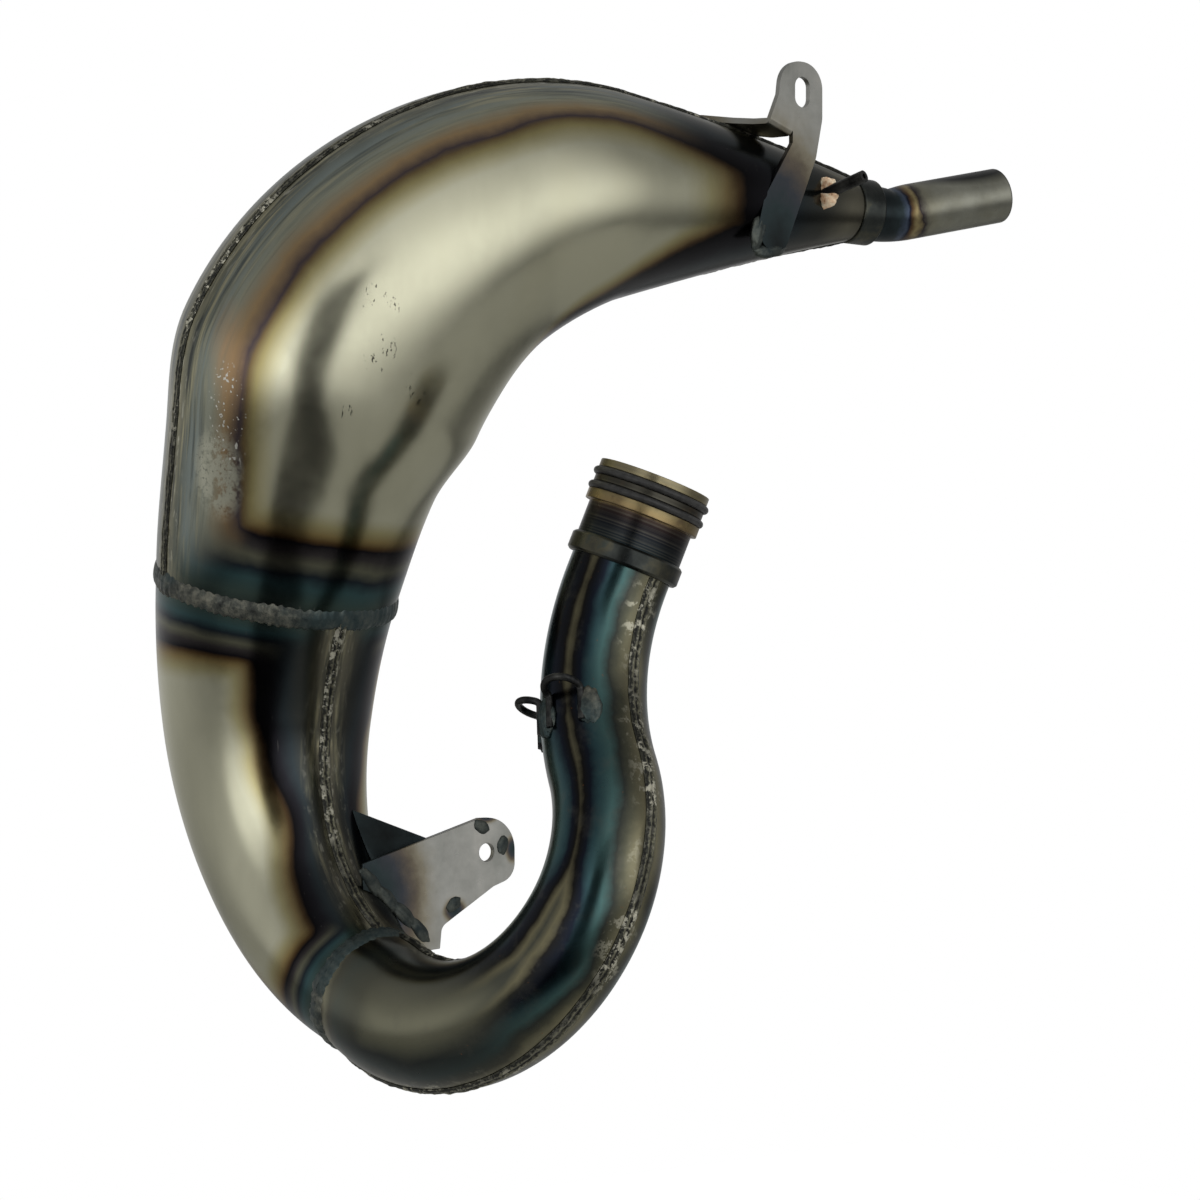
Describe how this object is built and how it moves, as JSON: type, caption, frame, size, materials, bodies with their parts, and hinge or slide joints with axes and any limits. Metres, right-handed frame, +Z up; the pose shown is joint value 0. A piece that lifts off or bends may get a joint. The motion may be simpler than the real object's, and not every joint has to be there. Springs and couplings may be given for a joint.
{
  "type": "two-stroke expansion chamber",
  "caption": "Bare-steel two-stroke exhaust pipe with a spigot that enters the cylinder, a U-bent header, a swollen belly, a rear cone and a thin stinger.",
  "frame": {"origin": "centre of the spigot's mouth, where the pipe enters the exhaust port", "axes": "+X to the rear of the motorcycle, +Y outboard, +Z up; the front bracket's bolt lies along Y"},
  "size_m": [0.4286, 0.2828, 0.4718],
  "materials": {
    "belly_steel": "bare pressed sheet, satin, with heat tint beside the welds",
    "header_steel": "bare pressed sheet, satin, blued dark by heat",
    "turned_steel": "turned steel, straw to dark blue heat tint",
    "tube_steel": "bare tube and rod, satin, tinted near the welds",
    "bracket_steel": "laser-cut sheet, brushed, tinted at its feet",
    "weld": "rough weld bead with dark scale and light flakes",
    "braze": "brazing metal, rough, copper to cream",
    "o_ring_rubber": "black rubber, satin"
  },
  "bodies": {
    "root": {"spigot": "turned_steel", "o_ring_outer": "o_ring_rubber", "o_ring_inner": "o_ring_rubber", "spigot_collar": "turned_steel", "header_front_half": "header_steel", "header_rear_half": "header_steel", "header_inner_seam_weld": "weld", "header_outer_seam_weld": "weld", "lower_joint_weld": "weld", "cone_front_half": "belly_steel", "cone_rear_half": "belly_steel", "cone_inner_seam_weld": "weld", "cone_outer_seam_weld": "weld", "belly_joint_weld": "weld", "belly_inboard_half": "belly_steel", "belly_outboard_half": "belly_steel", "belly_inner_seam_weld": "weld", "belly_outer_seam_weld": "weld", "stinger_ring": "turned_steel", "stinger": "tube_steel", "pressure_tap": "turned_steel", "tap_braze": "braze", "rear_bracket": "bracket_steel", "front_bracket_near_sheet": "bracket_steel", "front_bracket_far_sheet": "bracket_steel", "spring_hook_near": "tube_steel", "spring_hook_far": "tube_steel", "spring_hook_welds": "weld"}
  },
  "joints": []
}
